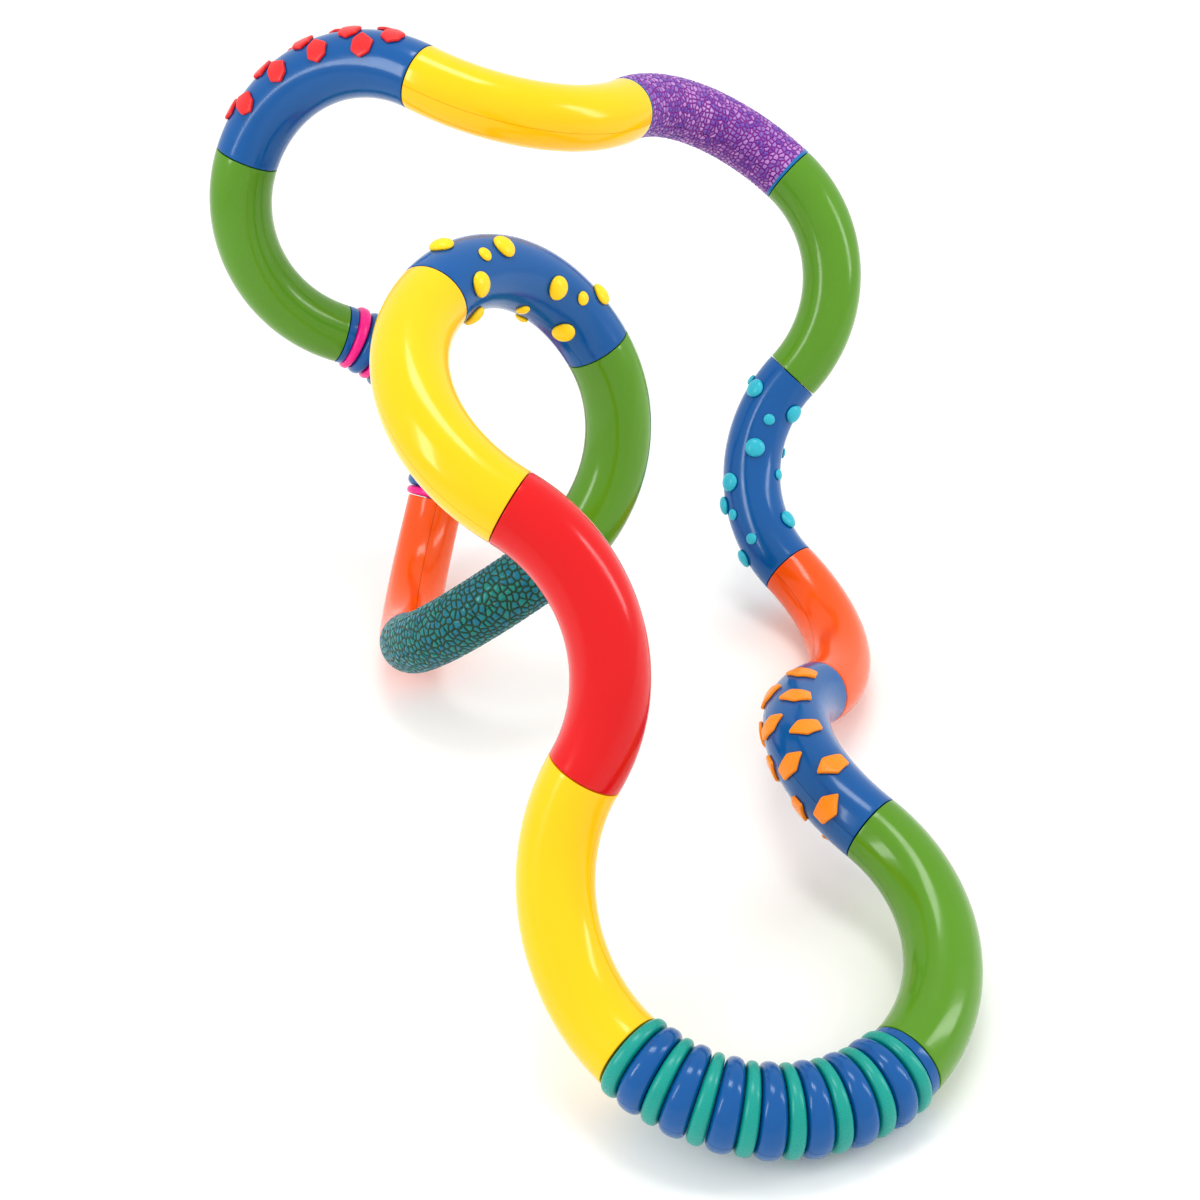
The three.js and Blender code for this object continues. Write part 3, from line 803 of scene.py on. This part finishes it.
def base_material(name, roughness, ior, coat):
    """A material with its shader, and the object's own coordinates for its patterns."""
    material = bpy.data.materials.new(name)
    material.use_nodes = True
    tree = material.node_tree
    tree.nodes.clear()
    output = add_node(tree, "ShaderNodeOutputMaterial")
    shader = add_node(
        tree, "ShaderNodeBsdfPrincipled",
        inputs={"Roughness": roughness, "IOR": ior, "Coat Weight": coat, "Coat Roughness": 0.06,
                "Specular IOR Level": 0.32},
    )
    tree.links.new(shader.outputs[0], output.inputs["Surface"])
    return material, tree, shader, add_node(tree, "ShaderNodeTexCoord").outputs["Object"]


def noise(tree, place, size, detail, roughness=0.5):
    """A noise pattern of a given size in metres."""
    inputs = {"Vector": place, "Scale": 1 / size, "Detail": detail, "Roughness": roughness}
    return add_node(tree, "ShaderNodeTexNoise", inputs=inputs).outputs["Fac"]


def clouded(tree, shader, pattern, dark, light):
    """Lets the colour drift between two shades."""
    pigment = add_node(tree, "ShaderNodeMix", {"data_type": "RGBA"}, {0: pattern, 6: dark, 7: light})
    tree.links.new(pigment.outputs[2], shader.inputs["Base Color"])


def uneven_gloss(tree, shader, pattern, span, roughness):
    """Lets the roughness follow a pattern, from one value to another."""
    inputs = {"Value": pattern, "From Min": span[0], "From Max": span[1]}
    inputs |= {"To Min": roughness[0], "To Max": roughness[1]}
    gloss = add_node(tree, "ShaderNodeMapRange", inputs=inputs)
    tree.links.new(gloss.outputs[0], shader.inputs["Roughness"])


def rippled(tree, shader, pattern, strength, distance):
    """Lets the surface rise and fall with a pattern."""
    inputs = {"Strength": strength, "Distance": distance, "Height": pattern}
    bump = add_node(tree, "ShaderNodeBump", inputs=inputs)
    tree.links.new(bump.outputs[0], shader.inputs["Normal"])


def scaled(rgba, factor):
    """A colour made lighter or darker."""
    return (*[min(1.0, c * factor) for c in rgba[:3]], 1.0)


def polished_plastic(name, rgba):
    """Injection-moulded ABS from a polished tool.

    It gives the eye a clear gloss over an even, strong colour, with faint clouds in the
    pigment, a slow waviness that bends the reflections, and a bloom of fine handling marks.
    """
    found = bpy.data.materials.get(name)
    if found:
        return found
    material, tree, shader, place = base_material(name, 0.2, 1.53, 0.2)
    clouds = noise(tree, place, 22 * MM, 3.0)
    clouded(tree, shader, clouds, scaled(rgba, 0.95), scaled(rgba, 1.05))
    marks = noise(tree, place, 5 * MM, 5.0, 0.65)
    uneven_gloss(tree, shader, marks, (0.35, 0.75), (0.16, 0.27))
    rippled(tree, shader, noise(tree, place, 9 * MM, 1.0), 0.12, 0.05 * MM)
    return material


def soft_rubber(name, rgba):
    """Thermoplastic elastomer, moulded over the shell.

    It gives the eye a softly glossy skin with a deep, slightly glowing colour and a fine grain.
    """
    material, tree, shader, place = base_material(name, 0.3, 1.5, 0.0)
    shader.inputs["Subsurface Weight"].default_value = 0.1
    shader.inputs["Subsurface Scale"].default_value = 0.8 * MM
    shader.inputs["Specular IOR Level"].default_value = 0.5
    shader.inputs["Subsurface Radius"].default_value = (1.0, 0.6, 0.4)
    clouds = noise(tree, place, 6 * MM, 3.0)
    clouded(tree, shader, clouds, scaled(rgba, 0.92), scaled(rgba, 1.06))
    # The real grain is under 0.1 mm and wouldn't show, so it is drawn at 0.35 mm.
    grain = noise(tree, place, 0.35 * MM, 2.0)
    uneven_gloss(tree, shader, grain, (0.3, 0.7), (0.24, 0.36))
    rippled(tree, shader, grain, 0.2, 0.03 * MM)
    return material


def cobbled_plastic_with_painted_shade(name, top, groove, second, collar):
    """ABS moulded with a cobbled relief, its grooves coloured darker as painted shade.

    It gives the eye glossy cells that vary in colour from one to the next, with a darker colour painted into
    the grooves as shade, and one plain band at the end.
    On the purple shell the light lavender of the cell tops is a painted highlight.
    """
    material, tree, shader, place = base_material(name, 0.26, 1.53, 0.15)
    relief = add_node(tree, "ShaderNodeAttribute", {"attribute_name": "relief"}).outputs["Fac"]
    tint = add_node(tree, "ShaderNodeAttribute", {"attribute_name": "tint"}).outputs["Fac"]
    cobbled = add_node(tree, "ShaderNodeAttribute", {"attribute_name": "cobbled"}).outputs["Fac"]
    clouds = noise(tree, place, 11 * MM, 2.0)
    blend = add_node(tree, "ShaderNodeMath", {"operation": "ADD"}, {0: tint, 1: clouds}).outputs[0]
    vary = add_node(
        tree, "ShaderNodeMapRange", inputs={"Value": blend, "From Min": 0.55, "From Max": 1.35}
    )
    tops = add_node(tree, "ShaderNodeMix", {"data_type": "RGBA"}, {0: vary.outputs[0], 6: top, 7: second})
    # Painted shade and light: the groove colour fills the low parts of the relief, and the cell-top colour
    # fills the high parts.
    height = add_node(
        tree, "ShaderNodeMapRange", inputs={"Value": relief, "From Min": 0.25, "From Max": 0.8}
    )
    cells = add_node(
        tree, "ShaderNodeMix", {"data_type": "RGBA"}, {0: height.outputs[0], 6: groove, 7: tops.outputs[2]}
    )
    clouded(tree, shader, cobbled, collar, cells.outputs[2])
    uneven_gloss(tree, shader, relief, (0.0, 1.0), (0.42, 0.22))
    rippled(tree, shader, noise(tree, place, 0.6 * MM, 2.0), 0.15, 0.04 * MM)
    return material


def acetal(name, rgba):
    """Acetal, moulded and left natural: an off-white, waxy plastic with a soft satin gloss."""
    material, tree, shader, place = base_material(name, 0.32, 1.48, 0.0)
    shader.inputs["Subsurface Weight"].default_value = 0.2
    shader.inputs["Subsurface Scale"].default_value = 1.5 * MM
    flow = noise(tree, place, 3 * MM, 2.0)
    clouded(tree, shader, flow, scaled(rgba, 0.9), rgba)
    rippled(tree, shader, flow, 0.15, 0.04 * MM)
    return material


def floor_paper(name, rgba):
    """Matt studio paper: a pale sheet with a barely uneven tone."""
    material, tree, shader, place = base_material(name, 0.85, 1.4, 0.0)
    clouded(tree, shader, noise(tree, place, 400 * MM, 2.0), scaled(rgba, 0.98), rgba)
    return material


# ---------------------------------------------------------------- operators


class BuildPlainShells(bpy.types.Operator):
    """Builds the smooth half shells, with and without raised shapes on them."""

    bl_idname = "puzzle.plain_shells"
    bl_label = "Plain Shells"

    def execute(self, context):
        tube, colours = context.scene.puzzle_tube, context.scene.puzzle_colours
        for number in range(1, SEGMENT_COUNT + 1):
            if number in COBBLED or number in RINGED:
                continue
            shade = nodes_of(number, "_shell_")[0].split("_")[1]
            material = polished_plastic(f"Polished {shade} ABS", getattr(colours, shade))
            crest = plain_crest(number, tube, tube.along_steps)
            outline = shell_outline(number, tube, crest, tube.radius - tube.wall)
            build_halves(number, outline, "Swept wall", material)
        return {"FINISHED"}


class BuildCobbledShells(bpy.types.Operator):
    """Builds the half shells with a cobbled relief."""

    bl_idname = "puzzle.cobbled_shells"
    bl_label = "Cobbled Shells"

    def execute(self, context):
        tube, relief = context.scene.puzzle_tube, context.scene.puzzle_relief
        colours = context.scene.puzzle_colours
        materials = {
            2: cobbled_plastic_with_painted_shade(
                "Cobbled purple ABS", colours.purple, colours.magenta_groove_shade, colours.violet, colours.collar
            ),
            14: cobbled_plastic_with_painted_shade(
                "Cobbled teal ABS", colours.teal, colours.bottle_groove_shade, colours.sea, colours.collar
            ),
        }
        steps = int(QUARTER * BEND / tube.fine_step)
        around_steps = int(math.pi * tube.radius / tube.fine_step)
        for number in COBBLED:
            start, end = span_of(number, tube)
            crest = plain_crest(number, tube, steps)
            outline = shell_outline(number, tube, crest, tube.radius - tube.wall)
            extra = {
                "Tube Radius": tube.radius, "Cell Along": relief.cell_along,
                "Cell Around": relief.cell_along if number == 2 else relief.cell_around,
                "Groove Depth": relief.groove_depth,
                "Relief Start": start + PLAIN_EDGE, "Relief End": end - relief.collar,
                "Seed": number * SEED_STEP, "Steps": around_steps,
            }
            build_halves(number, outline, "Cobbled wall", materials[number], extra)
        return {"FINISHED"}


class BuildRingedSegments(bpy.types.Operator):
    """Builds the half shells with bulged ribs, and the sets of soft rings between the ribs."""

    bl_idname = "puzzle.ringed_segments"
    bl_label = "Ringed Segments"

    def execute(self, context):
        tube, relief = context.scene.puzzle_tube, context.scene.puzzle_relief
        colours = context.scene.puzzle_colours
        blue = polished_plastic("Polished blue ABS", colours.blue)
        for number, reversed_run in RINGED.items():
            crest = ribbed_crest(number, tube, relief, reversed_run)
            outline = shell_outline(number, tube, crest, relief.core_radius - tube.wall)
            build_halves(number, outline, "Swept wall", blue)
            node = nodes_of(number, "ring_set")[0]
            shade = node.split("_")[1]
            rubber = soft_rubber(f"Soft {shade} elastomer", getattr(colours, shade))
            meshes = []
            for middle in ring_middles(relief, reversed_run):
                half_width = relief.ring_width / 2 * BEND
                base = relief.core_radius + RING_LIFT
                band = bulge(middle * BEND, half_width, base, relief.ring_radius, 18, 2.6)
                values = {
                    "Bend Radius": BEND, "From": math.pi, "To": -math.pi, "Steps": 2 * tube.around_steps,
                    "Caps": False, "Material": rubber,
                }
                meshes.append(evaluated_mesh(outline_curve(band, node), "Swept wall", values, node + "_ring"))
            whole = join_meshes(meshes, node + "_mesh")
            finish_piece(whole, node.replace("ring_set", "soft_ring_set"), number, [node])
        return {"FINISHED"}


class BuildDomes(bpy.types.Operator):
    """Builds the domes, large and small, that stand out of two of the blue segments."""

    bl_idname = "puzzle.domes"
    bl_label = "Domes"

    def execute(self, context):
        relief, colours = context.scene.puzzle_relief, context.scene.puzzle_colours
        shape = dome_shape(relief)
        inks = {4: ("cyan", colours.cyan), 12: ("yellow", colours.lemon)}
        for number, reversed_run in DOMED.items():
            shade, rgba = inks[number]
            rubber = soft_rubber(f"Soft {shade} elastomer", rgba)
            node = nodes_of(number, "_domes")[0]
            meshes = []
            for places, size in ((LARGE_DOMES[number], 1.0), (SMALL_DOMES[number], relief.small_share)):
                turned = [(90 - a, -t) for a, t in places] if reversed_run else places
                meshes.append(raised_mesh(node + "_part", turned, shape, rubber, size))
            whole = join_meshes(meshes, node + "_mesh")
            finish_piece(whole, node.replace("_domes", "_soft_domes"), number, [node])
        return {"FINISHED"}


class BuildPads(bpy.types.Operator):
    """Builds the hexagon pads and the leaf pads."""

    bl_idname = "puzzle.pads"
    bl_label = "Pads"

    def execute(self, context):
        relief, colours = context.scene.puzzle_relief, context.scene.puzzle_colours
        coral = soft_rubber("Soft coral elastomer", colours.coral)
        node = nodes_of(HEXAGONED, "_hexagons")[0]
        shape = pad_shape("hexagon_shape", HEXAGON_OUTLINE, relief, False)
        mesh = raised_mesh(node + "_mesh", HEXAGONS, shape, coral)
        finish_piece(mesh, node.replace("_hexagons", "_soft_hexagons"), HEXAGONED, [node])
        amber = soft_rubber("Soft amber elastomer", colours.amber)
        node = nodes_of(LEAVED, "_leaves")[0]
        meshes = []
        for column, around in enumerate(LEAF_COLUMNS):
            mirrored = column % 2 == 1
            shape = pad_shape(f"leaf_shape_{column}", LEAF_OUTLINE, relief, mirrored)
            places = [(a + (LEAF_STAGGER if mirrored else 0), around) for a in LEAF_PLACES]
            meshes.append(raised_mesh(node + "_part", places, shape, amber))
        whole = join_meshes(meshes, node + "_mesh")
        finish_piece(whole, node.replace("_leaves", "_soft_leaves"), LEAVED, [node])
        return {"FINISHED"}


class FinishPegs(bpy.types.Operator):
    """Gives the swivel pegs, which keep their CAD shape, their plastic."""

    bl_idname = "puzzle.pegs"
    bl_label = "Swivel Pegs"

    def execute(self, context):
        plastic = acetal("Natural acetal", context.scene.puzzle_colours.natural)
        for number in range(1, SEGMENT_COUNT + 1):
            for node in nodes_of(number, "_peg"):
                piece = frame["nodes"][node]
                piece.data.materials.clear()
                piece.data.materials.append(plastic)
        return {"FINISHED"}


class BuildStage(bpy.types.Operator):
    """Makes the pale floor, the softboxes, the surroundings and the camera."""

    bl_idname = "puzzle.stage"
    bl_label = "Stage"

    def softbox(self, name, place, aim, size, power, tone=(1.0, 1.0, 1.0)):
        data = bpy.data.lights.new(name, "AREA")
        data.shape = "RECTANGLE"
        data.size, data.size_y = size
        data.energy = power
        data.color = tone
        light = bpy.data.objects.new(name, data)
        light.location = place
        light.rotation_euler = (Vector(aim) - Vector(place)).to_track_quat("-Z", "Y").to_euler()
        bpy.context.scene.collection.objects.link(light)

    def execute(self, context):
        stage, colours = context.scene.puzzle_stage, context.scene.puzzle_colours
        shape = bmesh.new()
        bmesh.ops.create_grid(shape, x_segments=8, y_segments=8, size=stage.floor_radius)
        for vert in shape.verts:
            vert.co.z = -stage.drop
        mesh = bpy.data.meshes.new("floor")
        shape.to_mesh(mesh)
        shape.free()
        mesh.materials.append(floor_paper("Pale studio paper", colours.floor))
        floor = bpy.data.objects.new("floor", mesh)
        context.scene.collection.objects.link(floor)

        middle = (0.0, 0.0, 0.08)
        self.softbox("left softbox", (-0.65, -0.35, 0.55), middle, (0.16, 0.5), 1.7)
        self.softbox("right softbox", (0.75, -0.1, 0.45), middle, (0.14, 0.5), 1.3)
        self.softbox("top softbox", (0.05, 0.1, 0.95), middle, (0.4, 0.22), 1.8)

        world = bpy.data.worlds.new("Pale studio")
        world.use_nodes = True
        background = world.node_tree.nodes["Background"]
        background.inputs["Color"].default_value = linear("FFFFFF")
        background.inputs["Strength"].default_value = 0.95
        context.scene.world = world
        context.scene.view_settings.view_transform = "Standard"
        context.scene.view_settings.look = "Medium High Contrast"
        context.scene.view_settings.exposure = -0.1

        data = bpy.data.cameras.new("camera")
        data.lens = stage.lens
        data.sensor_width = 36.0
        data.clip_start, data.clip_end = 0.01, 50.0
        camera = bpy.data.objects.new("camera", data)
        ahead = Vector(stage.gaze).normalized()
        right = Vector(stage.side)
        right = (right - ahead * right.dot(ahead)).normalized()
        up = right.cross(ahead)
        turn = Matrix((right, up, -ahead)).transposed().to_4x4()
        turn.translation = Vector(stage.eye)
        camera.matrix_world = turn
        context.scene.collection.objects.link(camera)
        context.scene.camera = camera
        return {"FINISHED"}


class PuzzlePanel(bpy.types.Panel):
    """Lists the steps that build the puzzle."""

    bl_idname = "VIEW3D_PT_loop_puzzle"
    bl_label = "Loop Puzzle"
    bl_space_type = "VIEW_3D"
    bl_region_type = "UI"
    bl_category = "Loop Puzzle"

    def draw(self, context):
        for step in STEPS:
            self.layout.operator(step.bl_idname)
        for group in ("puzzle_tube", "puzzle_relief", "puzzle_colours", "puzzle_stage"):
            settings = getattr(context.scene, group)
            box = self.layout.box()
            for name in settings.__annotations__:
                box.prop(settings, name)


GROUPS = {
    "puzzle_tube": TubeSizes,
    "puzzle_relief": ReliefSizes,
    "puzzle_colours": PuzzleColours,
    "puzzle_stage": StageSettings,
}
STEPS = (
    BuildPlainShells, BuildCobbledShells, BuildRingedSegments, BuildDomes, BuildPads, FinishPegs, BuildStage,
)


def register():
    for group in (*GROUPS.values(), *STEPS, PuzzlePanel):
        bpy.utils.register_class(group)
    for name, group in GROUPS.items():
        setattr(bpy.types.Scene, name, PointerProperty(type=group))


def unregister():
    for name in GROUPS:
        delattr(bpy.types.Scene, name)
    for group in reversed((*GROUPS.values(), *STEPS, PuzzlePanel)):
        bpy.utils.unregister_class(group)


def main():
    register()
    bpy.ops.puzzle.plain_shells()
    bpy.ops.puzzle.cobbled_shells()
    bpy.ops.puzzle.ringed_segments()
    bpy.ops.puzzle.domes()
    bpy.ops.puzzle.pads()
    bpy.ops.puzzle.pegs()
    bpy.ops.puzzle.stage()


if __name__ == "__main__":
    main()
